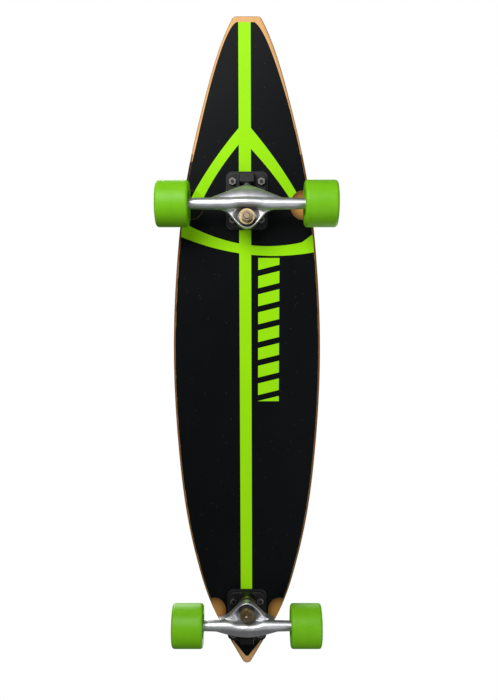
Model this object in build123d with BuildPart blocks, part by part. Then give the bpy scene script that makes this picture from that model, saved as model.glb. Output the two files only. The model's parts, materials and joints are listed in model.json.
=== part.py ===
"""A pintail longboard skateboard: a plywood deck on two steered trucks with four urethane wheels.

Millimetres. +X points to the nose, +Y to the left, +Z up. The wheels stand on z = 0, and the
origin is under the middle of the deck.
"""

from build123d import *
import os
from math import atan, atan2, cos, degrees, radians, sin

os.makedirs("parts", exist_ok=True)

# ---- Driving dimensions ------------------------------------------------------------------

# Deck
deck_length = 970.0
deck_width = 218.0
deck_thickness = 11.0
deck_edge_radius = 4.4
deck_top_edge_radius = 3.0
nose_width = 38.0
nose_corner_radius = 6.5
nose_slope = 0.6  # how fast the half width grows behind the nose's corner
tail_tip_radius = 8.0
tail_slope = 0.56  # how fast the half width shrinks towards the tail tip
grip_thickness = 0.8

# Side of the deck between the nose and the tail: share of the length, share of the half width
side_stations = [
    (0.046, 0.363),
    (0.123, 0.572),
    (0.227, 0.791),
    (0.351, 0.937),
    (0.505, 1.000),
    (0.650, 0.944),
    (0.767, 0.818),
    (0.846, 0.662),
    (0.912, 0.460),
    (0.979, 0.147),
]

# Where the trucks stand
nose_overhang = 256.0  # nose tip to the middle of the front bolts
wheelbase = 632.0  # middle of the front bolts to the middle of the rear bolts
front_hanger_width = 180.0
rear_hanger_width = 150.0

# Wheels and their bearings
wheel_diameter = 65.0
wheel_width = 46.0
wheel_lip_radius = 4.5
wheel_dish_depth = 0.8
wheel_dish_radius = 20.0
wheel_shoulder_radius = 9.0
bearing_seat_lead = 1.5  # from a bearing's outer face to where its seat opens into the dish
axle_radius = 4.0
bearing_outer_radius = 11.0
bearing_bore_radius = axle_radius
bearing_width = 7.0
bearing_gap = 10.0  # length of the spacer between the two bearings of a wheel
bearing_pitch_radius = (bearing_bore_radius + bearing_outer_radius) / 2
ball_radius = 1.985
ball_count = 7
groove_radius = 2.2
ring_wall = 1.7  # thickness of a bearing ring beside its groove
outer_ring_land = bearing_outer_radius - ring_wall
inner_ring_land = bearing_bore_radius + ring_wall
shield_thickness = 0.4
shield_bore_radius = inner_ring_land + 0.5
shield_inset = 0.3  # from the rings' face to the shield
cage_thickness = 0.8
cage_width = 4.9
spacer_radius = bearing_bore_radius + 1.3

# Trucks
riser_thickness = 3.0
truck_height = 47.0  # foot of the baseplate to the middle of the axle
axle_setback = 6.0  # from the middle of the bolts to the axle, towards the other truck
bolt_pattern_length = 54.0
bolt_pattern_width = 41.3
plate_length = 79.0
plate_width = 56.0
plate_corner_radius = 9.0
plate_thickness = 6.0
ring_x = 25.0  # middle of the hanger's ring, from the middle of the bolts
ring_drop = 37.0  # middle of the ring's web, under the foot of the baseplate
pivot_x = -26.0
pivot_drop = 13.0
kingpin_lean = 6.0
kingpin_radius = 4.7
kingpin_head_width = 14.3
kingpin_head_height = 6.0
kingpin_head_depth = 1.5  # how far the head lies under the baseplate's foot
kingpin_thread_end = 1.5  # kingpin showing past its nut
kingpin_chamfer = 0.8
kingpin_nut_height = 8.0
nut_collar_height = 2.0  # the round locking collar at the nut's lower end
nut_collar_inset = 0.8
bushing_radius = 11.8
bushing_shoulder = 2.5  # straight part of the cone bushing, in the hanger's ring
bushing_cone_radius = 0.737 * bushing_radius
bushing_edge = 1.5
deckside_bushing_height = 14.0
roadside_bushing_height = 11.0
washer_thickness = 1.5
washer_lip = 1.6  # how far a cup washer's rim reaches over its bushing
washer_rim = 1.5  # width of that rim
deckside_washer_radius = bushing_radius + 1.7
roadside_washer_radius = bushing_cone_radius + 2.3
ring_outer_radius = bushing_radius + 3.7
ring_wall_height = 6.0
ring_web = 4.0
ring_hole_radius = 8.0
pocket_x = -5.0  # the hollow that flares from the ring into the bar's underside
pocket_y = 12.5
pocket_corner_radius = 4.0
pocket_roof = 4.0  # from the hollow's roof to the middle of the ring's web
arm_end_radius = 7.6
arm_middle_radius = 8.4
bar_middle_radius = 10.2
stub_length = 11.0  # from the pivot to the hanger's shoulder
shoulder_radius = 6.4
pivot_stub_radius = 5.2
pivot_cup_wall = 2.3
pivot_cup_mouth = 4.5
pivot_cup_flat = 1.0  # how much nearer than its radius the cup's flat back lies
pivot_boss_wall = 2.7
pivot_boss_mouth = 5.0
pivot_boss_back = 9.5
kingpin_boss_radius = 12.6
plate_side_cut = 28.5  # radius of the hollow in each side of the baseplate
plate_side_cut_reach = 26.0
plate_end_cut = 21.5
plate_end_cut_reach = 20.0
plate_edge_radius = 1.2
kingpin_boss_root = 3.0  # how far the boss runs up past the kingpin's seat, into the plate
rib_width = 10.0
rib_back_x = -6.0
rib_back_drop = 2.0  # depth of the rib under the plate at its back
rib_front_drop = 9.0
rib_front_inset = 6.0  # from the middle of the ring back to the rib's deepest point
rib_back_slant = 4.0

# The hanger's two webs: share of the way from the axle, half thickness, half width
pivot_web_sections = [(0.0, 7.6, 50.0), (0.45, 7.0, 25.0), (1.0, 6.2, 7.5)]
ring_web_sections = [(0.0, 7.6, 40.0), (0.5, 6.6, 20.0), (1.0, 6.0, 13.0)]

# Fasteners
screw_radius = 2.4
screw_head_radius = 4.6
screw_socket_width = 3.2
screw_socket_depth = 2.0
screw_end = 2.0  # screw showing past its nut
nut_width = 9.5
nut_height = 5.5
axle_nut_width = 12.7
axle_nut_height = 7.5
axle_end = 1.0  # axle showing past its nut
speed_washer_radius = axle_radius + 3
speed_washer_thickness = 0.8

# Wheel wells sanded into the underside
well_radius = 62.0
well_depth = 3.4
well_run_in = 26.0
front_well_inner = 60.0  # from the middle line to the inner end of the well
rear_well_inner = 30.0

# Clearances
hole_clearance = 0.3  # a screw in its hole
thread_clearance = 0.05
running_clearance = 0.04  # a bearing on its axle
seat_clearance = 0.02  # a bearing in its wheel, an axle in its hanger
pivot_clearance = 0.3  # the hanger's stub in its cup
recess_clearance = 0.5  # a bushing in the ring
ball_clearance = 0.12  # a ball in its pocket of the cage
cut_past = 1.0  # how far a cut, or the root of a boss, runs past a face

# ---- Heights and places that follow ------------------------------------------------------

wheel_radius = wheel_diameter / 2
deck_bottom = wheel_radius + truck_height + riser_thickness
deck_top = deck_bottom + deck_thickness
nose_x = deck_length / 2
front_x = nose_x - nose_overhang
rear_x = front_x - wheelbase
foot_z = -riser_thickness  # foot of the baseplate, in a truck's own frame
plate_z = foot_z - plate_thickness
axle_z = foot_z - truck_height
ring_z = foot_z - ring_drop
pivot_z = foot_z - pivot_drop
bearing_middle = (bearing_gap + bearing_width) / 2
bearing_end = bearing_gap / 2 + bearing_width
wheel_offset = speed_washer_thickness + bearing_end  # hanger's end to the wheel's middle

# Each truck's own frame: origin on the deck's underside amid the bolts, +x towards the other
# truck, +z up
front_home = Plane((front_x, 0, deck_bottom), x_dir=(-1, 0, 0), z_dir=(0, 0, 1))
rear_home = Plane((rear_x, 0, deck_bottom), x_dir=(1, 0, 0), z_dir=(0, 0, 1))

# The kingpin's stack, as heights along its axis from the middle of the ring's web
stack_seat = ring_web / 2 + deckside_bushing_height + washer_thickness
stack_washer = -ring_web / 2 - roadside_bushing_height
stack_nut = stack_washer - washer_thickness
stack_end = stack_nut - kingpin_nut_height - kingpin_thread_end
stack_head_top = (ring_drop - kingpin_head_depth) / cos(radians(kingpin_lean))
stack_head = stack_head_top - kingpin_head_height

# The slope of the steering axis, from the pivot down to the middle of the ring
steer_slope = degrees(atan2(pivot_z - ring_z, ring_x - pivot_x))


# ---- Helpers -----------------------------------------------------------------------------


def at(home, place, turn=(0, 0, 0)):
    """A plane in a truck's own frame, moved to place and then turned, in degrees."""
    return Plane(home.location * Location(place, turn))


def kingpin_plane(home, height=0.0):
    """The plane square to the kingpin, at a height along it from the ring."""
    return at(home, (ring_x, 0, ring_z), (0, kingpin_lean, 0)).offset(height)


def pivot_plane(home, distance=0.0):
    """The plane square to the steering axis, at a distance from the pivot towards the ring."""
    return at(home, (pivot_x, 0, pivot_z), (0, 90 + steer_slope, 0)).offset(distance)


def between(home, start, end, share):
    """The plane square to the line from start to end, a share of the way along it.

    Start and end are (x, z) points in the middle of a truck's own frame.
    """
    run = end[0] - start[0]
    rise = end[1] - start[1]
    place = (start[0] + share * run, 0, start[1] + share * rise)
    return at(home, place, (0, degrees(atan2(run, rise)), 0))


def pivot_point(distance, lift):
    """A point beside the steering axis, as (x, z) in a truck's own frame."""
    slope = radians(steer_slope)
    x = pivot_x + distance * cos(slope) + lift * sin(slope)
    return (x, pivot_z - distance * sin(slope) + lift * cos(slope))


def wheel_plane(home, half_track, side):
    """The plane of a wheel: origin in its middle, +z along the axle towards +Y of the board."""
    middle = home.from_local_coords(Vector(axle_setback, 0, axle_z))
    return Plane((middle.X, side * half_track, middle.Z), x_dir=(1, 0, 0), z_dir=(0, 1, 0))


def profile_plane(plane):
    """The plane in which a turned piece is drawn: x is the radius, y the height on its axis."""
    return Plane(plane.origin, x_dir=plane.x_dir, z_dir=-plane.y_dir)


def turn_profile(plane, points, mode=Mode.ADD):
    """Turns a closed outline of (radius, height) points round the plane's axis."""
    with BuildSketch(profile_plane(plane)) as outline:
        with BuildLine():
            Polyline(*points, close=True)
        make_face()
    revolve(outline.sketch, axis=Axis(plane.origin, plane.z_dir), mode=mode)


def ring_points(inner, outer, low, high):
    """The square outline of a plain ring."""
    return [(inner, low), (outer, low), (outer, high), (inner, high)]


def hexagon_prism(plane, width, height, mode=Mode.ADD):
    """A hexagonal prism of the given width across its flats, standing on the plane."""
    with BuildSketch(plane) as flats:
        RegularPolygon(width / 2, 6, major_radius=False)
    extrude(flats.sketch, amount=height, mode=mode)


def bolt_places(home, height=0.0):
    """The four bolts of a truck, as points at a height over the deck's underside."""
    places = []
    for x in (-bolt_pattern_length / 2, bolt_pattern_length / 2):
        for y in (-bolt_pattern_width / 2, bolt_pattern_width / 2):
            places.append(home.from_local_coords(Vector(x, y, height)))
    return places


def save(piece, name):
    """Labels a finished piece and writes it."""
    piece.part.label = name
    export_step(piece.part, f"parts/{name}.step")


# ---- Deck --------------------------------------------------------------------------------


def cut_well(home, inner, side):
    """Cuts one wheel well: a shallow round-ended scoop, turned about a line along the axle."""
    middle = home.from_local_coords(Vector(axle_setback, 0, 0))
    axis_z = deck_bottom - well_radius + well_depth
    well_plane = Plane((middle.X, 0, axis_z), x_dir=(1, 0, 0), z_dir=(0, side, 0))
    touch = well_radius - well_depth - cut_past
    with BuildSketch(profile_plane(well_plane)) as scoop:
        with BuildLine():
            Line((0, inner), (touch, inner))
            TangentArc((touch, inner), (well_radius, inner + well_run_in), tangent=(0.5, 1))
            Line((well_radius, inner + well_run_in), (well_radius, deck_width))
            Line((well_radius, deck_width), (0, deck_width))
            Line((0, deck_width), (0, inner))
        make_face()
    revolve(scoop.sketch, axis=Axis(well_plane.origin, well_plane.z_dir), mode=Mode.SUBTRACT)


nose_corner = (nose_x, nose_width / 2)
# The two sides run on past the rounded tip and would cross here
tail_point = (-nose_x - tail_tip_radius * (1 / sin(atan(tail_slope)) - 1), 0)
stations = [
    (nose_x - share * deck_length, width * deck_width / 2) for share, width in side_stations
]

with BuildPart() as deck:
    with BuildSketch(Plane.XY.offset(deck_bottom)) as deck_face:
        with BuildLine():
            edge_line = Spline(
                nose_corner,
                *stations,
                tail_point,
                tangents=[(-1, nose_slope), (-1, -tail_slope)],
            )
            mirror(edge_line, about=Plane.XZ)
            Line(nose_corner, (nose_x, -nose_width / 2))
        make_face()
        nose_corners = deck_face.vertices().group_by(Axis.X)[-1]
        fillet(nose_corners, nose_corner_radius)
        fillet(deck_face.vertices().sort_by(Axis.X)[0], tail_tip_radius)
    extrude(amount=deck_thickness)
    fillet(deck.faces().sort_by(Axis.Z)[0].edges(), deck_edge_radius)
    fillet(deck.faces().sort_by(Axis.Z)[-1].edges(), deck_top_edge_radius)
    for side in (-1, 1):
        cut_well(front_home, front_well_inner, side)
        cut_well(rear_home, rear_well_inner, side)
    deck_holes = bolt_places(front_home, deck_thickness) + bolt_places(rear_home, deck_thickness)
    with Locations(*deck_holes):
        CounterSinkHole(
            radius=screw_radius + hole_clearance,
            counter_sink_radius=screw_head_radius + hole_clearance,
            counter_sink_angle=90,
        )
save(deck, "deck")

# The tape covers the flat top face and has the same holes for the screw heads
with BuildPart() as grip_tape:
    extrude(deck.faces().sort_by(Axis.Z)[-1], amount=grip_thickness)
save(grip_tape, "grip_tape")


# ---- Trucks ------------------------------------------------------------------------------


def make_riser_pad(home, name):
    """The thin plastic pad between the deck and the baseplate."""
    with BuildPart() as riser_pad:
        with BuildSketch(at(home, (0, 0, foot_z))):
            RectangleRounded(plate_length + 4, plate_width + 4, plate_corner_radius)
            with GridLocations(bolt_pattern_length, bolt_pattern_width, 2, 2):
                Circle(screw_radius + hole_clearance, mode=Mode.SUBTRACT)
        extrude(amount=riser_thickness)
    save(riser_pad, name)


def make_baseplate(home, name):
    """The cast plate: a flange with rounded lobes, a pivot boss and a kingpin boss."""
    cup_radius = pivot_stub_radius + pivot_clearance + pivot_cup_wall
    boss_radius = cup_radius + pivot_boss_wall
    side_cut_y = plate_width / 2 + plate_side_cut_reach
    end_cut_x = -plate_length / 2 - plate_end_cut_reach
    with BuildPart() as baseplate:
        with BuildSketch(at(home, (0, 0, plate_z))):
            RectangleRounded(plate_length, plate_width, plate_corner_radius)
            with Locations((0, side_cut_y), (0, -side_cut_y)):
                Circle(plate_side_cut, mode=Mode.SUBTRACT)
            with Locations((end_cut_x, 0)):
                Circle(plate_end_cut, mode=Mode.SUBTRACT)
        extrude(amount=plate_thickness)
        fillet(baseplate.faces().sort_by(Axis.Z)[0].edges(), plate_edge_radius)
        with BuildSketch(at(home, (0, boss_radius, 0), (90, 0, 0))) as pivot_boss:
            with BuildLine():
                Polyline(
                    (pivot_point(pivot_boss_mouth, 0)[0], foot_z - cut_past),
                    pivot_point(pivot_boss_mouth, boss_radius),
                    pivot_point(pivot_boss_mouth, -boss_radius),
                    pivot_point(-pivot_boss_back, -boss_radius),
                    (-plate_length / 2 + 2 * cut_past, foot_z - cut_past),
                    close=True,
                )
            make_face()
        extrude(pivot_boss.sketch, amount=2 * boss_radius)
        turn_profile(
            kingpin_plane(home),
            ring_points(0, kingpin_boss_radius, stack_seat, stack_head + kingpin_boss_root),
        )
        with BuildSketch(at(home, (0, rib_width / 2, 0), (90, 0, 0))) as rib:
            with BuildLine():
                Polyline(
                    (rib_back_x, foot_z - cut_past),
                    (rib_back_x + rib_back_slant, plate_z - rib_back_drop),
                    (ring_x - rib_front_inset, plate_z - rib_front_drop),
                    (ring_x, foot_z - cut_past),
                    close=True,
                )
            make_face()
        extrude(rib.sketch, amount=rib_width)
        turn_profile(
            pivot_plane(home),
            ring_points(0, cup_radius, pivot_cup_flat - cup_radius, 2 * pivot_boss_mouth),
            Mode.SUBTRACT,
        )
        hexagon_prism(
            kingpin_plane(home, stack_head),
            kingpin_head_width + 2 * hole_clearance,
            2 * kingpin_head_height,
            Mode.SUBTRACT,
        )
        turn_profile(
            kingpin_plane(home),
            ring_points(
                0,
                kingpin_radius + hole_clearance,
                stack_seat - cut_past,
                stack_head + cut_past,
            ),
            Mode.SUBTRACT,
        )
        with BuildSketch(at(home, (0, 0, axle_z))) as holes:
            with GridLocations(bolt_pattern_length, bolt_pattern_width, 2, 2):
                Circle(screw_radius + hole_clearance)
        extrude(holes.sketch, amount=-axle_z, mode=Mode.SUBTRACT)
    save(baseplate, name)


def make_pivot_cup(home, name):
    """The urethane cup that holds the hanger's stub."""
    inner = pivot_stub_radius + pivot_clearance
    outer = inner + pivot_cup_wall
    with BuildPart() as pivot_cup:
        turn_profile(
            pivot_plane(home), ring_points(0, outer, pivot_cup_flat - outer, pivot_cup_mouth)
        )
        turn_profile(
            pivot_plane(home),
            ring_points(0, inner, 0, pivot_cup_mouth + cut_past),
            Mode.SUBTRACT,
        )
        with Locations(pivot_plane(home)):
            Sphere(inner, mode=Mode.SUBTRACT)
    save(pivot_cup, name)


def make_kingpin(home, name):
    """The bolt that holds the bushings and the hanger to the baseplate."""
    with BuildPart() as kingpin:
        hexagon_prism(kingpin_plane(home, stack_head), kingpin_head_width, kingpin_head_height)
        with BuildSketch(kingpin_plane(home, stack_end)) as shank:
            Circle(kingpin_radius)
        extrude(shank.sketch, amount=stack_head - stack_end)
        tip = kingpin.faces().sort_by(Axis.Z)[0]
        chamfer(tip.edges(), kingpin_chamfer)
    save(kingpin, name)


def make_kingpin_nut(home, name):
    """The locking nut under the roadside washer."""
    nut_low = stack_nut - kingpin_nut_height
    collar = kingpin_head_width / 2 - nut_collar_inset
    with BuildPart() as kingpin_nut:
        hexagon_prism(
            kingpin_plane(home, nut_low + nut_collar_height),
            kingpin_head_width,
            kingpin_nut_height - nut_collar_height,
        )
        turn_profile(
            kingpin_plane(home), ring_points(0, collar, nut_low, nut_low + nut_collar_height)
        )
        turn_profile(
            kingpin_plane(home),
            ring_points(0, kingpin_radius + thread_clearance, stack_end, stack_nut + cut_past),
            Mode.SUBTRACT,
        )
    save(kingpin_nut, name)


def make_bushings(home, truck):
    """The barrel bushing over the hanger's ring and the cone bushing under it."""
    bore = kingpin_radius + hole_clearance
    web = ring_web / 2
    with BuildPart() as deckside_bushing:
        turn_profile(
            kingpin_plane(home),
            ring_points(bore, bushing_radius, web, web + deckside_bushing_height),
        )
        rims = deckside_bushing.edges().filter_by(GeomType.CIRCLE).group_by(SortBy.RADIUS)[-1]
        fillet(rims, bushing_edge)
    save(deckside_bushing, f"{truck}_deckside_bushing")
    with BuildPart() as roadside_bushing:
        turn_profile(
            kingpin_plane(home),
            [
                (bore, -web),
                (bushing_radius, -web),
                (bushing_radius, -web - bushing_shoulder),
                (bushing_cone_radius, stack_washer),
                (bore, stack_washer),
            ],
        )
    save(roadside_bushing, f"{truck}_roadside_bushing")


def make_cup_washer(home, base, up, radius, name):
    """A washer with a rim round its bushing: base is its outer face, up is 1 or -1."""
    bore = kingpin_radius + hole_clearance
    face = base + up * washer_thickness
    rim = face + up * washer_lip
    with BuildPart() as washer:
        turn_profile(
            kingpin_plane(home),
            [
                (bore, base),
                (radius, base),
                (radius, rim),
                (radius - washer_rim, rim),
                (radius - washer_rim, face),
                (bore, face),
            ],
        )
    save(washer, name)


def make_hanger(home, width, name):
    """The cast hanger: a tapered bar, a web to the ring, a web to the pivot and its stub."""
    half = width / 2
    web = ring_web / 2
    bar = at(home, (axle_setback, 0, axle_z), (-90, 0, 0))
    axle_point = (axle_setback, axle_z)
    shoulder = pivot_point(stub_length, 0)
    ring_edge = (ring_x - ring_outer_radius / 2, ring_z)
    recess = bushing_radius + recess_clearance
    reach = 2 * ring_outer_radius
    with BuildPart() as hanger:
        with BuildSketch(profile_plane(bar)) as bar_outline:
            with BuildLine():
                Line((0, -half), (arm_end_radius, -half))
                Spline(
                    (arm_end_radius, -half),
                    (arm_middle_radius, -half / 2),
                    (bar_middle_radius, 0),
                    (arm_middle_radius, half / 2),
                    (arm_end_radius, half),
                    tangents=[(0, 1), (0, 1)],
                )
                Line((arm_end_radius, half), (0, half))
                Line((0, half), (0, -half))
            make_face()
        revolve(bar_outline.sketch, axis=Axis(bar.origin, bar.z_dir))
        pivot_sections = []
        for share, half_thickness, half_width in pivot_web_sections:
            with BuildSketch(between(home, axle_point, shoulder, share)) as section:
                Ellipse(half_thickness, half_width)
            pivot_sections.append(section.sketch)
        loft(sections=pivot_sections)
        ring_sections = []
        for share, half_thickness, half_width in ring_web_sections:
            with BuildSketch(between(home, axle_point, ring_edge, share)) as section:
                Ellipse(half_thickness, half_width)
            ring_sections.append(section.sketch)
        loft(sections=ring_sections)
        turn_profile(
            kingpin_plane(home),
            ring_points(0, ring_outer_radius, -ring_wall_height, ring_wall_height),
        )
        turn_profile(pivot_plane(home), ring_points(0, pivot_stub_radius, 0, stub_length))
        with Locations(pivot_plane(home)):
            Sphere(pivot_stub_radius)
        with Locations(pivot_plane(home, stub_length)):
            Sphere(shoulder_radius)
        turn_profile(kingpin_plane(home), ring_points(0, recess, web, reach), Mode.SUBTRACT)
        turn_profile(kingpin_plane(home), ring_points(0, recess, -reach, -web), Mode.SUBTRACT)
        turn_profile(
            kingpin_plane(home), ring_points(0, ring_hole_radius, -reach, reach), Mode.SUBTRACT
        )
        with BuildSketch(kingpin_plane(home, -reach)) as pocket:
            Circle(recess)
            with Locations((pocket_x, pocket_y), (pocket_x, -pocket_y)):
                Circle(pocket_corner_radius)
            make_hull()
        extrude(pocket.sketch, amount=reach - pocket_roof, mode=Mode.SUBTRACT)
        turn_profile(
            bar, ring_points(0, axle_radius + seat_clearance, -width, width), Mode.SUBTRACT
        )
    save(hanger, name)


def make_axle(home, width, name):
    """The steel axle cast through the hanger, threaded at its ends."""
    reach = width + 2 * (
        2 * speed_washer_thickness + 2 * bearing_width + bearing_gap + axle_nut_height + axle_end
    )
    with BuildPart() as axle:
        with BuildSketch(at(home, (axle_setback, -reach / 2, axle_z), (-90, 0, 0))):
            Circle(axle_radius)
        extrude(amount=reach)
        chamfer(axle.edges().filter_by(GeomType.CIRCLE), 0.6)
    save(axle, name)


def make_axle_hardware(home, width, truck):
    """Two nuts and four speed washers."""
    inner = width / 2
    outer = inner + speed_washer_thickness + 2 * bearing_width + bearing_gap
    bore = axle_radius + running_clearance
    middle = wheel_plane(home, 0, 1)
    nut_low = outer + speed_washer_thickness
    with BuildPart() as axle_nuts:
        for side in (-1, 1):
            hexagon_prism(middle.offset(side * nut_low), axle_nut_width, side * axle_nut_height)
        reach = nut_low + axle_nut_height + cut_past
        turn_profile(
            middle, ring_points(0, axle_radius + thread_clearance, -reach, reach), Mode.SUBTRACT
        )
    save(axle_nuts, f"{truck}_axle_nuts")
    with BuildPart() as speed_washers:
        for side in (-1, 1):
            for start in (inner, outer):
                low = min(side * start, side * (start + speed_washer_thickness))
                turn_profile(
                    middle, ring_points(bore, speed_washer_radius, low, low + speed_washer_thickness)
                )
    save(speed_washers, f"{truck}_speed_washers")


def make_mounting_hardware(home, truck):
    """Four countersunk screws down through the deck, and their nuts."""
    nut_top = deck_bottom + plate_z
    screw_low = nut_top - nut_height - screw_end
    with BuildPart() as screws:
        for place in bolt_places(home):
            line = Plane((place.X, place.Y, 0))
            turn_profile(
                line,
                [
                    (0, screw_low),
                    (screw_radius, screw_low),
                    (screw_radius, deck_top - screw_head_radius + screw_radius),
                    (screw_head_radius, deck_top),
                    (0, deck_top),
                ],
            )
            hexagon_prism(
                line.offset(deck_top - screw_socket_depth),
                screw_socket_width,
                screw_socket_depth + cut_past,
                Mode.SUBTRACT,
            )
    save(screws, f"{truck}_mounting_screws")
    with BuildPart() as nuts:
        for place in bolt_places(home):
            line = Plane((place.X, place.Y, 0))
            hexagon_prism(line.offset(nut_top - nut_height), nut_width, nut_height)
            turn_profile(
                line,
                ring_points(0, screw_radius + thread_clearance, screw_low, nut_top + cut_past),
                Mode.SUBTRACT,
            )
    save(nuts, f"{truck}_mounting_nuts")


# ---- Wheels ------------------------------------------------------------------------------


def make_wheel(plane, name):
    """The moulded tyre: a flat tread, rounded lips, dished sides and two bearing seats."""
    half = wheel_width / 2
    seat = bearing_outer_radius + seat_clearance
    mouth = bearing_end + bearing_seat_lead
    with BuildPart() as wheel:
        with BuildSketch(profile_plane(plane)) as section:
            with BuildLine():
                Polyline(
                    (wheel_shoulder_radius, -bearing_gap / 2),
                    (seat, -bearing_gap / 2),
                    (seat, -mouth),
                    (wheel_dish_radius, -half + wheel_dish_depth),
                    (wheel_radius - wheel_lip_radius, -half),
                    (wheel_radius, -half),
                    (wheel_radius, half),
                    (wheel_radius - wheel_lip_radius, half),
                    (wheel_dish_radius, half - wheel_dish_depth),
                    (seat, mouth),
                    (seat, bearing_gap / 2),
                    (wheel_shoulder_radius, bearing_gap / 2),
                    close=True,
                )
            make_face()
        revolve(section.sketch, axis=Axis(plane.origin, plane.z_dir))
        rims = wheel.edges().filter_by(GeomType.CIRCLE).group_by(SortBy.RADIUS)[-1]
        fillet(rims, wheel_lip_radius - 0.1)
    save(wheel, name)


def make_bearings(plane, corner):
    """The two ball bearings of a wheel, the spacer between them and their shields."""
    half = bearing_width / 2
    bore = bearing_bore_radius + running_clearance
    middles = [plane.offset(side * bearing_middle) for side in (-1, 1)]
    with BuildPart() as outer_rings:
        for middle in middles:
            turn_profile(middle, ring_points(outer_ring_land, bearing_outer_radius, -half, half))
        with Locations(*middles):
            Torus(bearing_pitch_radius, groove_radius, mode=Mode.SUBTRACT)
    save(outer_rings, f"{corner}_bearing_outer_rings")
    with BuildPart() as inner_rings:
        for middle in middles:
            turn_profile(middle, ring_points(bore, inner_ring_land, -half, half))
        with Locations(*middles):
            Torus(bearing_pitch_radius, groove_radius, mode=Mode.SUBTRACT)
    save(inner_rings, f"{corner}_bearing_inner_rings")
    with BuildPart() as balls:
        with Locations(*middles):
            with PolarLocations(bearing_pitch_radius, ball_count):
                Sphere(ball_radius)
    save(balls, f"{corner}_bearing_balls")
    inside = bearing_pitch_radius - cage_thickness / 2
    outside = bearing_pitch_radius + cage_thickness / 2
    with BuildPart() as cages:
        for middle in middles:
            turn_profile(middle, ring_points(inside, outside, -cage_width / 2, cage_width / 2))
        with Locations(*middles):
            with PolarLocations(bearing_pitch_radius, ball_count):
                Cylinder(
                    ball_radius + ball_clearance,
                    4 * cage_thickness,
                    rotation=(0, 90, 0),
                    mode=Mode.SUBTRACT,
                )
    save(cages, f"{corner}_bearing_cages")
    with BuildPart() as shields:
        for middle in middles:
            for low in (shield_inset - half, half - shield_inset - shield_thickness):
                turn_profile(
                    middle,
                    ring_points(shield_bore_radius, outer_ring_land, low, low + shield_thickness),
                )
    save(shields, f"{corner}_bearing_shields")
    with BuildPart() as spacer:
        turn_profile(plane, ring_points(bore, spacer_radius, -bearing_gap / 2, bearing_gap / 2))
    save(spacer, f"{corner}_bearing_spacer")


# ---- Assembly ----------------------------------------------------------------------------

for truck, home, hanger_width in (
    ("front", front_home, front_hanger_width),
    ("rear", rear_home, rear_hanger_width),
):
    make_riser_pad(home, f"{truck}_riser_pad")
    make_baseplate(home, f"{truck}_baseplate")
    make_pivot_cup(home, f"{truck}_pivot_cup")
    make_kingpin(home, f"{truck}_kingpin")
    make_kingpin_nut(home, f"{truck}_kingpin_nut")
    make_bushings(home, truck)
    make_cup_washer(home, stack_seat, -1, deckside_washer_radius, f"{truck}_deckside_washer")
    make_cup_washer(home, stack_nut, 1, roadside_washer_radius, f"{truck}_roadside_washer")
    make_hanger(home, hanger_width, f"{truck}_hanger")
    make_axle(home, hanger_width, f"{truck}_axle")
    make_axle_hardware(home, hanger_width, truck)
    make_mounting_hardware(home, truck)
    for hand, side in (("left", 1), ("right", -1)):
        middle = wheel_plane(home, hanger_width / 2 + wheel_offset, side)
        make_wheel(middle, f"{truck}_{hand}_wheel")
        make_bearings(middle, f"{truck}_{hand}")
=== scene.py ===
"""The looks of a pintail longboard skateboard, laid over its CAD frame.

Metres: +X to the nose, +Y to the left, +Z up, wheels on z = 0. Patterns read Object coordinates,
turned into millimetres, so that they ride with their piece.
"""

import json
import math

import bpy
import numpy as np
from mathutils import Matrix, Vector


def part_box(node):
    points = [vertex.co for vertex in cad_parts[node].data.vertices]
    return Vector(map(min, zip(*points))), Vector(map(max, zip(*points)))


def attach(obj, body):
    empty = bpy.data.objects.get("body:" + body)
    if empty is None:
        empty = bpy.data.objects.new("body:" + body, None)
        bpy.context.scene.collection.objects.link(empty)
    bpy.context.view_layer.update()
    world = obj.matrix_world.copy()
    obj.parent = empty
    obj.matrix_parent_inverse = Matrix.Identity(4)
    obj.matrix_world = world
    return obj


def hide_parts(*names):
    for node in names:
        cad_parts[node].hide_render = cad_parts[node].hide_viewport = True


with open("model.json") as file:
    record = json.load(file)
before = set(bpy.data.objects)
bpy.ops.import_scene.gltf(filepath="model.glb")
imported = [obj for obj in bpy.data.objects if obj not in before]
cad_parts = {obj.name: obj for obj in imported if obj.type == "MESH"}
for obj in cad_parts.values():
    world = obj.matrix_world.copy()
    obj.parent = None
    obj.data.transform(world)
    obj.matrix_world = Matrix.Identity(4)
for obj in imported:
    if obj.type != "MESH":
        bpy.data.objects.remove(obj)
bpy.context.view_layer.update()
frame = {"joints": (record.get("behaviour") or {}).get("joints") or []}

MM = 0.001
TRUCKS = ("front", "rear")
HANDS = ("left", "right")
CORNERS = [f"{truck}_{hand}" for truck in TRUCKS for hand in HANDS]

deck_low, deck_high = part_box("deck")
NOSE = deck_high[0] / MM
DECK_LENGTH = (deck_high[0] - deck_low[0]) / MM
UNDERSIDE = deck_low[2] / MM


# ---- Shader arithmetic -----------------------------------------------------------------------


NOISE_ROUGHNESS = 0.55


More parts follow.
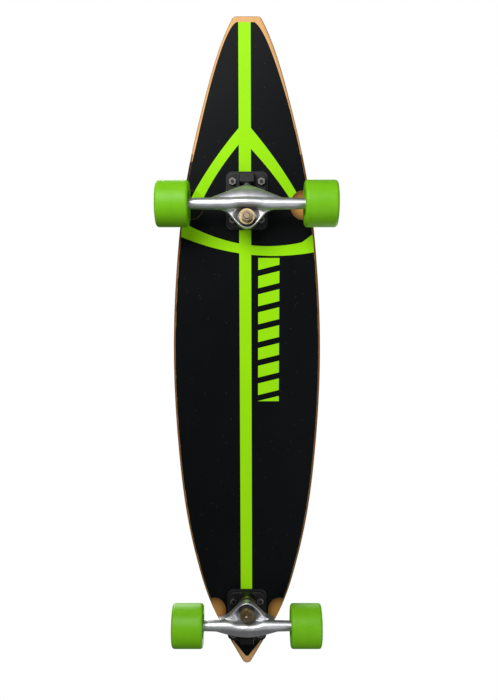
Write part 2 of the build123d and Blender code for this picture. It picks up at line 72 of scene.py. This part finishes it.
class Value:
    """One number of a finish's nodes. An expression on values adds its Math nodes."""

    def __init__(self, finish, socket):
        self.finish = finish
        self.socket = socket

    def __add__(self, other):
        return self.finish.math("ADD", self, other)

    def __radd__(self, other):
        return self.finish.math("ADD", other, self)

    def __sub__(self, other):
        return self.finish.math("SUBTRACT", self, other)

    def __rsub__(self, other):
        return self.finish.math("SUBTRACT", other, self)

    def __mul__(self, other):
        return self.finish.math("MULTIPLY", self, other)

    def __rmul__(self, other):
        return self.finish.math("MULTIPLY", other, self)

    def __truediv__(self, other):
        return self.finish.math("DIVIDE", self, other)

    def __abs__(self):
        return self.finish.math("ABSOLUTE", self)

    def __and__(self, other):
        """The smaller of the two: where both masks are on."""
        return self.finish.math("MINIMUM", self, other)

    def __or__(self, other):
        """The larger of the two: where either mask is on."""
        return self.finish.math("MAXIMUM", self, other)

    def wave(self, length):
        """A sine wave from 0 to 1 along the value, one crest every length."""
        return self.finish.math("SINE", self * (2 * math.pi / length)) * 0.5 + 0.5

    def within(self, edge=0.25):
        """A mask that is 1 where the value is positive, with an edge this soft."""
        return self.finish.math("ADD", self * (1 / edge), 0.5, clamp=True)

    def fraction(self):
        """What is left of the value past its last whole number."""
        return self.finish.math("FRACT", self)

    def clamped(self):
        """The value, kept from 0 to 1."""
        return self.finish.math("ADD", self, 0.0, clamp=True)


class Finish:
    """A material under construction, round one Principled shader."""

    def __init__(self, name, **constants):
        self.material = bpy.data.materials.new(name)
        self.material.use_nodes = True
        self.tree = self.material.node_tree
        self.tree.nodes.clear()
        self.shader = self.node("ShaderNodeBsdfPrincipled", inputs=constants)
        output = self.tree.nodes.new("ShaderNodeOutputMaterial")
        self.tree.links.new(self.shader.outputs[0], output.inputs["Surface"])

    def node(self, kind, settings=None, inputs=None):
        """A node of this kind: its settings first, then the values or links of its sockets."""
        made = self.tree.nodes.new(kind)
        for name, value in (settings or {}).items():
            setattr(made, name, value)
        for name, value in (inputs or {}).items():
            self.plug(made.inputs[name], value)
        return made

    def plug(self, socket, value):
        """Links a socket to a value or an output, or sets it."""
        if isinstance(value, Value):
            value = value.socket
        if isinstance(value, bpy.types.NodeSocket):
            self.tree.links.new(value, socket)
        else:
            socket.default_value = value

    def math(self, operation, *operands, clamp=False):
        """A Math node on values and numbers."""
        settings = {"operation": operation, "use_clamp": clamp}
        made = self.node("ShaderNodeMath", settings, dict(enumerate(operands)))
        return Value(self, made.outputs[0])

    def set(self, **sockets):
        """Sets or links sockets of the shader, with underscores for spaces."""
        for name, value in sockets.items():
            self.plug(self.shader.inputs[name.replace("_", " ")], value)

    def point(self):
        """The point on the piece, as an output socket, in metres."""
        return self.node("ShaderNodeTexCoord").outputs["Object"]

    def place(self):
        """x, y and z of the point on the piece, in millimetres."""
        split = self.node("ShaderNodeSeparateXYZ", inputs={0: self.point()})
        return [Value(self, out) * 1000.0 for out in split.outputs]

    def noise(self, size, stretch=(1, 1, 1), detail=3.0):
        """Cloudy noise from 0 to 1 with lumps of this size in mm, drawn out by stretch."""
        scale = [1 / (size * MM * s) for s in stretch]
        spread = self.node(
            "ShaderNodeVectorMath", {"operation": "MULTIPLY"}, {0: self.point(), 1: scale}
        )
        made = self.node(
            "ShaderNodeTexNoise",
            inputs={
                "Vector": spread.outputs[0],
                "Scale": 1.0,
                "Detail": detail,
                "Roughness": NOISE_ROUGHNESS,
            },
        )
        return Value(self, made.outputs[0])

    def specks(self, size):
        """The distance to the nearest of many scattered points, in lumps of this size in mm."""
        made = self.node(
            "ShaderNodeTexVoronoi", inputs={"Vector": self.point(), "Scale": 1 / (size * MM)}
        )
        return Value(self, made.outputs["Distance"])

    def mix(self, factor, first, second):
        """A colour between the first (factor 0) and the second (factor 1)."""
        made = self.node("ShaderNodeMix", {"data_type": "RGBA"})
        for index, value in ((0, factor), (6, first), (7, second)):
            if isinstance(value, tuple):
                value = (*value, 1.0)
            self.plug(made.inputs[index], value)
        return made.outputs[2]

    def bump(self, height, depth):
        """A normal for a height map of 0 to 1 that stands for a depth in mm."""
        inputs = {"Height": height, "Distance": depth * MM, "Strength": 1.0}
        return self.node("ShaderNodeBump", inputs=inputs).outputs["Normal"]

    def give(self, *names):
        """Puts the finish on these CAD nodes or pieces."""
        for name in names:
            mesh = bpy.data.objects[name].data
            mesh.materials.clear()
            mesh.materials.append(self.material)


# ---- Deck ------------------------------------------------------------------------------------

# The painted marks, in mm: t runs from the nose tip towards the tail, v to the left of the board
STRIPE_WIDTH = 17.4
STRIPE_START = -3.4  # where the stripe's middle lies at the nose
STRIPE_DRIFT = 0.003  # how much it moves over for each mm towards the tail
# From here to the tail the lime stripe is left black: painted shadow of the rear truck falling over
# the stripe
STRIPE_SHADOW_START = 905.0  # under the rear truck
FORK_TOP = 154.0  # where the fork leaves the stripe
FORK_CROTCH = 187.6  # where its inner edges leave the stripe
BARE_NOSE = 8.7  # unpainted wood at the nose
BARE_TAIL = 13.0  # unpainted wood at the tail
WELL_EDGE = 62.0  # how far out the paint goes over one of the front truck's wheel wells
WELLS_START = 190.0  # nose tip to where the front wells can begin
WELL_DEPTH = 4.2
WELL_OUTER = 92.0  # how far out the painted well reaches
WELL_INNER = 20.0  # no well comes nearer to the middle than this
PAINT_RISE = 0.3  # how far up the edge the paint runs
BAR_START, BAR_END, BAR_STEP = 338.0, 551.0, 26.6
BAR_LOW, BAR_HIGH = 16.6, 47.6  # across the board
BAR_SLANT = 0.25
BAR_SHARE = 0.66  # painted share of each step

LIME = (0.33, 0.80, 0.003)
BLACK_PAINT = (0.0022, 0.0028, 0.0034)
MAPLE = (0.80, 0.47, 0.20)
DARK_PLY = (0.40, 0.185, 0.07)


def curve(x, start, level, slope, bend):
    """level + slope d + bend d squared, where d is how far x has come past start."""
    run = x - start
    return level + run * (slope + run * bend)


def painted_marks(t, v):
    """The mask of the lime marks: stripe, fork before the front truck, arc behind it and bars."""
    middle = STRIPE_START + t * STRIPE_DRIFT
    # the stripe stops under the rear truck; the black past it is painted shadow of the truck
    stripe = (STRIPE_WIDTH / 2 - abs(v - middle)).within() & (STRIPE_SHADOW_START - t).within(10)
    left = -1.0 * v
    fork_left = (
        (curve(t, FORK_TOP, 12.2, 0.86, -0.00165) - left).within()
        & (left - curve(t, FORK_CROTCH, 20.9, 0.80, -0.0023)).within()
        & (left + middle).within()
    )
    fork_right = (
        (curve(t, FORK_TOP, 6.4, 0.86, -0.0015) - v).within()
        & (v - curve(t, FORK_CROTCH, 10.7, 0.93, -0.0021)).within()
        & (v - middle).within()
    )
    before_truck = (262.0 - t).within()
    hook = (t - curve(left, 72.5, 246.0, -0.67, 0.0)).within() & (left - 84.0).within()
    arc_front = t - curve(v, 0.0, 318.9, 0.137, -0.00225)
    arc_back = curve(v, 0.0, 332.7, 0.118, -0.00151) - t
    arc_end = t - curve(v, 79.0, 316.4, -0.75, 0.0)
    arc = (arc_front | (arc_end & (v - 79.0))).within() & arc_back.within()
    marks = stripe | ((fork_left | fork_right) & before_truck) | (hook & arc_back.within()) | arc
    return marks | slanted_bars(t, v)


def slanted_bars(t, v):
    """A row of plain slanted bars beside the stripe."""
    across = (v - BAR_LOW).within() & (BAR_HIGH - v).within()
    along = (t - BAR_START).within() & (BAR_END - t).within()
    phase = ((t - BAR_START + (v - BAR_LOW) * BAR_SLANT) / BAR_STEP).fraction()
    return across & along & (BAR_SHARE - phase).within(0.01)


def paint_width(finish, t):
    """How far the paint reaches from its middle line near the nose: 9.4 + 3.4 sqrt d + 0.12 d."""
    d = finish.math("MAXIMUM", t - 8.0, 0.0)
    return 9.4 + finish.math("SQRT", d) * 3.4 + d * 0.12 + (t - 230.0).within(60) * 90.0


def make_deck_finish():
    """Plywood: black and lime paint underneath, bare plies on the rim and in the wheel wells."""
    finish = Finish("painted_plywood", **{"Specular IOR Level": 0.08})
    x, y, z = finish.place()
    t = NOSE - x
    grain = finish.noise(7, stretch=(14, 1, 1), detail=4)
    figure = finish.noise(40, stretch=(6, 1, 0.2), detail=2)
    ply = (z + figure * 0.15).wave(3.1)
    bare = finish.mix(((ply - 0.55) * 6).clamped(), MAPLE, DARK_PLY)
    bare = finish.mix((grain * 0.55).clamped(), bare, (0.50, 0.25, 0.085))
    rear = (t - DECK_LENGTH / 2).within()
    wooden = rear | (y - WELL_EDGE).within(1.0)
    scooped = (z - (UNDERSIDE + 0.35)).within(0.2) & ((UNDERSIDE + WELL_DEPTH) - z).within(0.2)
    in_well = scooped & (t - WELLS_START).within() & (abs(y) - WELL_INNER).within()
    # Wood in the wheel wells: dark brown at the rim to light brown deep down, a painted shade on the
    # wells' walls
    well_shade_by_depth = ((z - UNDERSIDE) / 3.6).clamped()
    well = finish.mix(well_shade_by_depth, (0.12, 0.045, 0.010), (0.52, 0.25, 0.07))
    bare = finish.mix(in_well, bare, well)
    below = ((UNDERSIDE + PAINT_RISE) - z).within(0.12)
    over_well = in_well & (1 - wooden) & (WELL_OUTER - abs(y)).within()
    lean = (t * 0.02 - 2.2) & 1.2
    inside = (paint_width(finish, t) - abs(y - lean)).within()
    tail = (DECK_LENGTH - BARE_TAIL) - t
    inside = inside & (t - BARE_NOSE).within() & tail.within()
    inside = inside & (tail * 0.75 + 2.0 - abs(y)).within()
    painted = (below | over_well) & inside
    marks = painted_marks(t, y)
    dust = finish.specks(9)
    worn = (0.06 - dust).within(0.03) * 0.25
    paint = finish.mix(marks, BLACK_PAINT, LIME)
    haze = (finish.noise(60, detail=3) - 0.35).clamped() * 0.10
    paint = finish.mix(haze, paint, (0.02, 0.024, 0.028))
    paint = finish.mix(worn, paint, (0.20, 0.17, 0.13))
    finish.set(
        Base_Color=finish.mix(painted, bare, paint),
        Roughness=0.52 - painted * 0.14 + grain * 0.08,
        Normal=finish.bump(
            grain * (1 - painted) + finish.noise(3, detail=2) * painted * 0.06, 0.10
        ),
    )
    finish.give("deck")


def make_grip_finish():
    """Coarse black grit: sharp grains with a few that glitter."""
    finish = Finish("grip_grit", **{"Specular IOR Level": 0.45})
    grain = finish.specks(0.9)
    cloud = finish.noise(30)
    glint = (0.16 - grain).within(0.05)
    base = finish.mix((cloud * 0.8).clamped(), (0.012, 0.012, 0.013), (0.028, 0.028, 0.03))
    finish.set(
        Base_Color=finish.mix(glint * 0.35, base, (0.16, 0.16, 0.17)),
        Roughness=0.92 - glint * 0.35,
        Normal=finish.bump(1 - grain, 0.35),
    )
    finish.give("grip_tape")


# ---- Truck and fastener finishes ---------------------------------------------------------------


def make_metal(name, low, high, roughness, size, depth, metallic=1.0):
    """A metal between two colours in clouds of this size, with a fine grain."""
    finish = Finish(name, **{"Metallic": metallic})
    cloud = finish.noise(size, detail=4)
    fine = finish.noise(0.7, detail=2)
    finish.set(
        Base_Color=finish.mix(cloud, low, high),
        Roughness=roughness + cloud * 0.12 + fine * 0.05,
        Normal=finish.bump(fine * 0.6 + cloud * 0.4, depth),
    )
    return finish


def make_moulded(name, low, high, roughness, size, depth):
    """A moulded plastic or urethane, a little uneven in colour and gloss."""
    finish = Finish(name, **{"Specular IOR Level": 0.4})
    cloud = finish.noise(size, detail=3)
    fine = finish.noise(1.1, detail=3)
    finish.set(
        Base_Color=finish.mix(cloud, low, high),
        Roughness=roughness + fine * 0.12,
        Normal=finish.bump(fine, depth),
    )
    return finish


def make_wheel_finish():
    """Green urethane: light passes a little way in, with faint rolling marks round the tread."""
    finish = Finish(
        "green_urethane",
        **{
            "Subsurface Weight": 0.25,
            "Subsurface Radius": (0.35, 1.0, 0.05),
            "Subsurface Scale": 0.004,
            "Specular IOR Level": 0.22,
        },
    )
    cloud = finish.noise(16, detail=3)
    rings = finish.noise(2.2, stretch=(30, 1, 30), detail=3)
    finish.set(
        Base_Color=finish.mix(cloud, (0.150, 0.47, 0.004), (0.205, 0.55, 0.008)),
        Roughness=0.36 + rings * 0.14,
        Normal=finish.bump(rings * 0.7 + finish.noise(0.8) * 0.3, 0.05),
    )
    finish.give(*[f"{corner}_wheel" for corner in CORNERS])


def finish_hardware():
    """Gives every metal, plastic and urethane piece its finish."""
    both = [f"{truck}_" for truck in TRUCKS]
    casting = make_metal("polished_casting", (0.60, 0.61, 0.63), (0.76, 0.77, 0.79), 0.37, 9, 0.05)
    for truck in TRUCKS:
        make_hanger(truck, casting)
    plate = make_metal(
        "satin_black_casting", (0.003, 0.003, 0.0035), (0.009, 0.009, 0.010), 0.46, 5, 0.12, 0.25
    )
    plate.give(*[t + "baseplate" for t in both])
    zinc = make_metal("zinc_plate", (0.50, 0.50, 0.52), (0.66, 0.66, 0.69), 0.30, 3, 0.02)
    zinc.give(*[t + name for t in both for name in ("axle", "axle_nuts", "speed_washers")])
    gold = make_metal("yellow_zinc", (0.32, 0.235, 0.105), (0.54, 0.43, 0.24), 0.30, 3, 0.03)
    gold.give(*[t + name for t in both for name in ("deckside_washer", "roadside_washer")])
    brown = make_metal("brown_zinc", (0.18, 0.13, 0.085), (0.36, 0.28, 0.19), 0.36, 2, 0.03)
    brown.give(*[t + name for t in both for name in ("kingpin", "kingpin_nut")])
    oxide = make_metal("black_oxide", (0.03, 0.03, 0.032), (0.06, 0.06, 0.065), 0.34, 2, 0.03)
    oxide.give(*[t + "mounting_screws" for t in both])
    dull = make_metal("dull_steel", (0.16, 0.155, 0.15), (0.34, 0.33, 0.31), 0.28, 2, 0.03)
    dull.give(*[t + "mounting_nuts" for t in both])
    ground = make_metal("ground_steel", (0.55, 0.55, 0.57), (0.70, 0.70, 0.72), 0.20, 4, 0.01)
    rolling = ("outer_rings", "inner_rings", "balls")
    ground.give(*[f"{c}_bearing_{name}" for c in CORNERS for name in rolling])
    pressed = make_metal("pressed_shield", (0.30, 0.31, 0.33), (0.42, 0.43, 0.45), 0.34, 4, 0.02)
    pressed.give(*[f"{c}_bearing_{name}" for c in CORNERS for name in ("shields", "spacer")])
    brass = make_metal("pressed_brass", (0.58, 0.43, 0.20), (0.72, 0.57, 0.32), 0.32, 3, 0.02)
    brass.give(*[f"{c}_bearing_cages" for c in CORNERS])
    pad = make_moulded("black_pad", (0.008, 0.008, 0.009), (0.016, 0.016, 0.017), 0.5, 12, 0.05)
    pad.give(*[t + name for t in both for name in ("riser_pad", "pivot_cup")])
    rubber = make_moulded(
        "black_urethane", (0.012, 0.012, 0.013), (0.03, 0.03, 0.032), 0.42, 6, 0.05
    )
    rubber.give(*[t + name for t in both for name in ("deckside_bushing", "roadside_bushing")])


def smooth_casting(name, voxel, rounds):
    """Runs the webs, ring and bar of a casting into each other with soft fillets."""
    piece = bpy.data.objects[name]
    shell = piece.modifiers.new("one_skin", "REMESH")
    shell.mode = "VOXEL"
    shell.voxel_size = voxel * MM
    shell.use_smooth_shade = True
    soften = piece.modifiers.new("fillets", "SMOOTH")
    soften.factor = 0.5
    soften.iterations = rounds


# ---- Hangers -----------------------------------------------------------------------------------

# A hanger in its own frame, in mm: the axle's middle is the origin, a runs towards the other
# truck, y to the left and z up
RING_A, RING_Z = 19.0, 10.0
PIVOT_A, PIVOT_Z = -32.0, 34.0
KINGPIN_LEAN = math.radians(6)
STUB_LENGTH = 11.0
STUB_RADIUS = 5.2
BAR_END_RADIUS = 7.6
BAR_MIDDLE_RADIUS = 9.8
BAR_RELIEF = 4.4  # how much of its inner side the bar gives up for the washer
RING_TIP = 35.0  # the ring's far side
SHELL_SIDES = 64


def carried(centres, across, upward, half_width, half_height):
    """Ellipses carried along a path.

    point(i, u) = centre(i) + across(i) half_width(i) cos u + upward(i) half_height(i) sin u
    """
    u = np.linspace(0, 2 * np.pi, SHELL_SIDES, endpoint=False)
    wide = half_width[:, None, None] * np.cos(u)[None, :, None] * across[:, None, :]
    high = half_height[:, None, None] * np.sin(u)[None, :, None] * upward[:, None, :]
    return centres[:, None, :] + wide + high


def spread(*columns):
    """Columns of numbers, any of them single, as an array of points."""
    return np.stack(np.broadcast_arrays(*[np.asarray(c, float) for c in columns]), axis=-1)


def bar_shell(half):
    """The bar: radius = end + (middle - end)(1 - |y| / half) to the power 1.4, round the axle.

    Its inner side is flattened at the middle, by exp(-(y / 20) to the fourth power), to clear
    the bushing and its washer.
    """
    y = np.linspace(-half, half, 81)
    radius = BAR_END_RADIUS + (BAR_MIDDLE_RADIUS - BAR_END_RADIUS) * (1 - abs(y) / half) ** 1.4
    relief = BAR_RELIEF / 2 * np.exp(-((y / 20) ** 4))
    along = spread(1.0, 0.0, np.zeros_like(y))
    up = spread(0.0, 0.0, np.ones_like(y))
    return carried(spread(-relief, y, 0.0), along, up, radius - relief, radius)


def ring_shell():
    """The plate round the kingpin, with a bowl in each side for its bushing.

    Its outline is a = tip exp(-(|y| / 26.9) to the power 2.2) in front and the bar's middle line
    behind. From the hole out it runs along the recess floor, up the bowl's wall and over the lip.
    """
    y = np.linspace(-60, 60, 241)
    ahead = RING_TIP * np.exp(-((abs(y) / 26.9) ** 2.2)) - RING_A
    turn = np.linspace(-np.pi, np.pi, 145)
    reach = np.interp(turn, np.arctan2(y, ahead), np.hypot(y, ahead))
    reach = np.minimum(np.minimum(reach, RING_A / np.maximum(-np.cos(turn), 0.05)), 44)
    mouth = np.minimum(reach - 2.8, 19)
    hole, floor = np.full_like(turn, 8.0), np.full_like(turn, 12.7)
    radii = np.stack(
        [hole, floor, mouth, reach - 1, reach, reach, reach - 1, mouth, floor, hole, hole]
    )
    heights = np.array([-2, -2, -6, -6.3, -3.5, 3.5, 6.3, 6, 2, 2, -2], float)
    place = np.arange(SHELL_SIDES) * 10 / SHELL_SIDES
    corner = place.astype(int)
    part = place - corner
    r = (radii[corner] * (1 - part)[:, None] + radii[corner + 1] * part[:, None]).T
    h = (heights[corner] * (1 - part) + heights[corner + 1] * part)[None, :]
    run = r * np.cos(turn)[:, None]
    h = h - 4.5 * np.clip((7 - RING_A - run) / 9, 0, 1)
    lean = KINGPIN_LEAN
    a = RING_A + run * math.cos(lean) + h * math.sin(lean)
    z = RING_Z - run * math.sin(lean) + h * math.cos(lean)
    return np.stack([a, r * np.sin(turn)[:, None], z], axis=-1)


def pivot_shell():
    """The web from the bar to the pivot, down a curve that leaves the bar level and then turns up.

    Its half width is 7.5 + 62 (1 - s) to the power 1.5, with s from 0 at the bar to 1.
    """
    s = np.linspace(0, 1, 41)
    slope = math.atan2(PIVOT_Z - RING_Z, RING_A - PIVOT_A)
    shoulder = np.array(
        [PIVOT_A + STUB_LENGTH * math.cos(slope), 0, PIVOT_Z - STUB_LENGTH * math.sin(slope)]
    )
    level = np.array([-20.0, 0, 4.0])
    middle = 2 * (s * (1 - s))[:, None] * level + (s**2)[:, None] * shoulder
    run = np.gradient(middle, axis=0)
    run /= np.linalg.norm(run, axis=1)[:, None]
    side = spread(0.0, np.ones_like(s), 0.0)
    return carried(middle, side, np.cross(run, side), 7.5 + 62 * (1 - s) ** 1.5, 7.2 - 1.0 * s)


def stub_shell():
    """The pivot's stub: a cylinder, and a ball of radius = R sqrt(1 - (d / R) squared) for d < 0."""
    d = np.concatenate([-STUB_RADIUS * np.cos(np.linspace(0.15, np.pi / 2, 15)), [4.0, 8.0, 12.0]])
    radius = STUB_RADIUS * np.sqrt(1 - (np.minimum(d, 0) / STUB_RADIUS) ** 2)
    slope = math.atan2(PIVOT_Z - RING_Z, RING_A - PIVOT_A)
    line = np.array([math.cos(slope), 0, -math.sin(slope)])
    up = spread(math.sin(slope), 0.0, np.full_like(d, math.cos(slope)))
    side = spread(0.0, np.ones_like(d), 0.0)
    return carried(np.array([PIVOT_A, 0, PIVOT_Z]) + d[:, None] * line, side, up, radius, radius)


def shell_faces(rings, first):
    """Quads between the rings of a shell, and one face over each end; first is its first vertex."""
    row = np.arange(rings - 1)[:, None] * SHELL_SIDES
    step = np.arange(SHELL_SIDES)[None, :]
    after = (step + 1) % SHELL_SIDES
    above = row + SHELL_SIDES
    quads = np.stack([row + step, row + after, above + after, above + step], -1)
    last = (rings - 1) * SHELL_SIDES
    ends = [list(range(SHELL_SIDES))[::-1], list(range(last, last + SHELL_SIDES))]
    return (quads.reshape(-1, 4) + first).tolist() + [[i + first for i in end] for end in ends]


def make_hanger(truck, casting):
    """One polished casting from its four shells, run into each other with soft fillets."""
    steer = next(j for j in frame["joints"] if j["name"] == f"{truck}_steer")
    spin = next(j for j in frame["joints"] if j["name"] == f"{truck}_left_spin")
    axle_x, _, axle_z = spin["pos_m"]
    inward = 1 if axle_x > steer["pos_m"][0] else -1
    low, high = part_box(f"{truck}_hanger")
    half = (high[1] - low[1]) / 2 / MM
    points, faces = [], []
    for shell in (bar_shell(half), ring_shell(), pivot_shell(), stub_shell()):
        faces += shell_faces(len(shell), sum(len(p) for p in points))
        points.append(shell.reshape(-1, 3))
    places = np.concatenate(points) * (inward * MM, MM, MM) + (axle_x, 0, axle_z)
    mesh = bpy.data.meshes.new(f"{truck}_hanger_casting")
    mesh.from_pydata(places.tolist(), [], faces)
    piece = bpy.data.objects.new(f"{truck}_hanger_casting", mesh)
    bpy.context.scene.collection.objects.link(piece)
    mesh.materials.append(casting.material)
    smooth_casting(piece.name, 0.75, 6)
    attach(piece, f"{truck}_hanger")
    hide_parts(f"{truck}_hanger")


# ---- Floor, light and camera -------------------------------------------------------------------


def make_floor():
    """A plain pale floor at z = 0 that fades out round the board.

    It is seen only from above, so that the board shows from below.
    """
    reach = 6.0
    corners = np.array([(-1, -1, 0), (1, -1, 0), (1, 1, 0), (-1, 1, 0)], float) * reach
    mesh = bpy.data.meshes.new("floor")
    mesh.from_pydata(corners.tolist(), [], [(0, 1, 2, 3)])
    floor = bpy.data.objects.new("floor", mesh)
    bpy.context.scene.collection.objects.link(floor)
    finish = Finish("pale_floor", **{"Roughness": 0.8, "Specular IOR Level": 0.2})
    x, y, z = finish.place()
    far = finish.math("SQRT", x * x + y * y)
    finish.set(
        Base_Color=finish.mix(finish.noise(300), (0.80, 0.80, 0.80), (0.84, 0.84, 0.84)),
        Alpha=1 - ((far - 700) / 900).clamped(),
    )
    clear = finish.node("ShaderNodeBsdfTransparent")
    side = finish.node("ShaderNodeNewGeometry").outputs["Backfacing"]
    either = finish.node(
        "ShaderNodeMixShader", inputs={0: side, 1: finish.shader.outputs[0], 2: clear.outputs[0]}
    )
    output = next(n for n in finish.tree.nodes if n.type == "OUTPUT_MATERIAL")
    finish.tree.links.new(either.outputs[0], output.inputs["Surface"])
    mesh.materials.append(finish.material)
    floor.visible_shadow = False
    floor.visible_glossy = False
    floor.visible_diffuse = False


def make_world(seen, felt):
    """A white room: as bright as seen to the eye, and as bright as felt on the object."""
    world = bpy.data.worlds.new("white_room")
    bpy.context.scene.world = world
    world.use_nodes = True
    tree = world.node_tree
    tree.nodes.clear()
    path = tree.nodes.new("ShaderNodeLightPath")
    strength = tree.nodes.new("ShaderNodeMapRange")
    tree.links.new(path.outputs["Is Camera Ray"], strength.inputs["Value"])
    strength.inputs["To Min"].default_value = felt
    strength.inputs["To Max"].default_value = seen
    room = tree.nodes.new("ShaderNodeBackground")
    room.inputs["Color"].default_value = (1, 1, 1, 1)
    tree.links.new(strength.outputs[0], room.inputs["Strength"])
    output = tree.nodes.new("ShaderNodeOutputWorld")
    tree.links.new(room.outputs[0], output.inputs["Surface"])


def make_lamp(name, place, aim, size, power):
    """A square soft light that looks from place to aim."""
    lamp = bpy.data.lights.new(name, "AREA")
    lamp.size = size
    lamp.energy = power
    lit = bpy.data.objects.new(name, lamp)
    bpy.context.scene.collection.objects.link(lit)
    lit.location = place
    lit.rotation_mode = "QUATERNION"
    lit.rotation_quaternion = (Vector(aim) - Vector(place)).to_track_quat("-Z", "Y")


def make_camera():
    """Looks up at the underside from near the front truck, tipped towards the tail's lower end."""
    tilt = 0.136
    distance = 1.176
    lens = bpy.data.cameras.new("camera")
    lens.lens = 41.14
    camera = bpy.data.objects.new("camera", lens)
    bpy.context.scene.collection.objects.link(camera)
    right = Vector((0, 1, 0))
    up = Vector((math.cos(tilt), 0, math.sin(tilt)))
    back = right.cross(up)
    place = Vector((0.1722, 0.0031, UNDERSIDE * MM - distance))
    turned = Matrix((right, up, back)).transposed().to_4x4()
    camera.matrix_world = Matrix.Translation(place) @ turned
    bpy.context.scene.camera = camera


bpy.context.scene.view_settings.view_transform = "Standard"
make_deck_finish()
make_grip_finish()
make_wheel_finish()
finish_hardware()
for truck in TRUCKS:
    smooth_casting(f"{truck}_baseplate", 0.6, 3)
make_floor()
make_world(1.0, 0.13)
make_lamp("key", (1.0, -0.45, -1.15), (0.15, 0, 0.08), 0.8, 25)
make_lamp("fill", (-0.6, 0.9, -1.3), (-0.1, 0, 0.08), 1.2, 7)
make_lamp("overhead", (0.8, -0.6, 2.0), (0, 0, 0.05), 1.5, 40)
make_lamp("back", (-1.2, 1.0, 1.4), (0, 0, 0.05), 1.2, 15)
make_camera()
